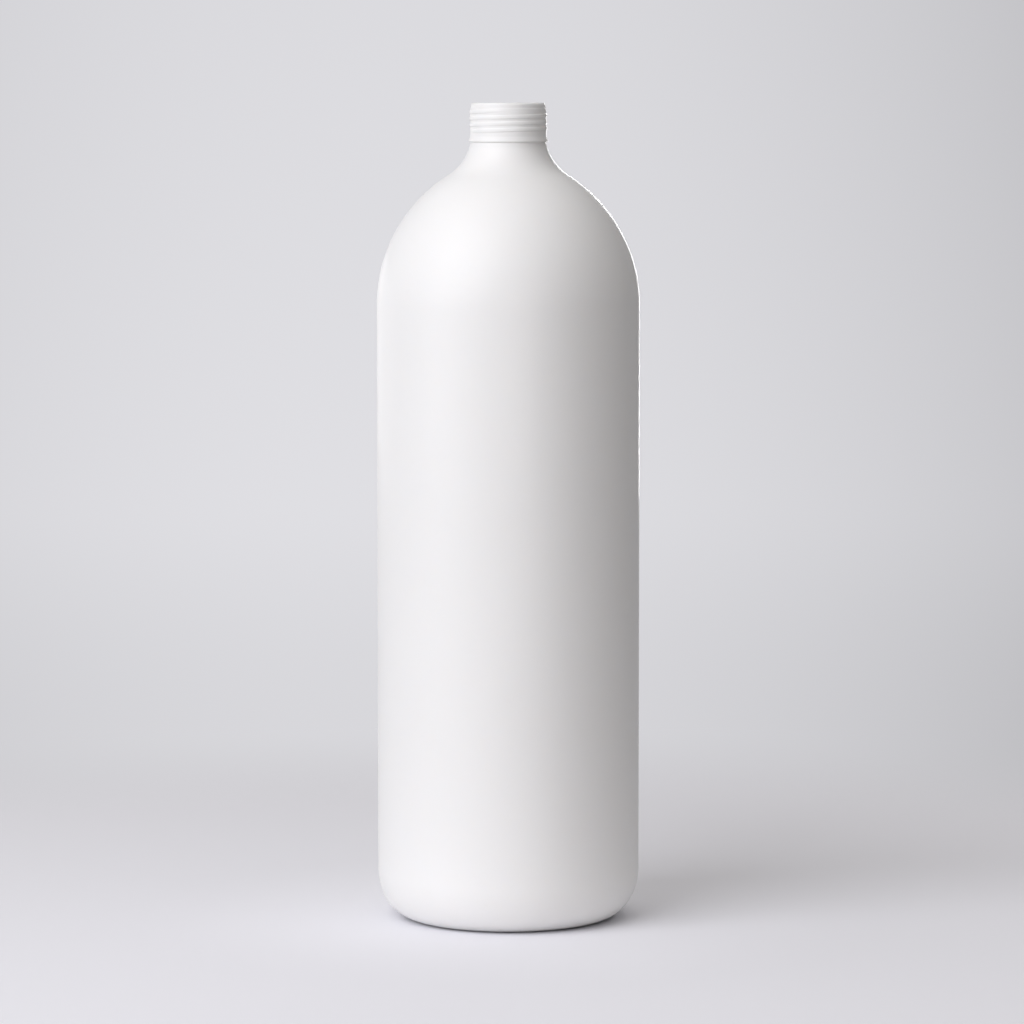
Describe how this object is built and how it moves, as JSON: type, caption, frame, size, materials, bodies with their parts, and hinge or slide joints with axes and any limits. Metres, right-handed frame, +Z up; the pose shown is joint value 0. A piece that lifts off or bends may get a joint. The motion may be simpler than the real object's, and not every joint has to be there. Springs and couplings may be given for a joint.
{
  "type": "plastic bottle",
  "caption": "Tall round white bottle with straight walls, a domed shoulder, a rounded base with a push-up, and an open neck with a screw thread.",
  "frame": {"origin": "centre of the standing ring, on the surface that the bottle stands on", "axes": "+Z up along the bottle's axis, out of the mouth; +X to the right in the picture and -Y towards the viewer; the thread's lowest end points along -X"},
  "size_m": [0.08, 0.08, 0.249],
  "materials": {
    "white_polyethylene": "soft satin, as blown in a fine-blasted mould"
  },
  "bodies": {
    "root": {"bottle": "white_polyethylene"}
  },
  "joints": []
}
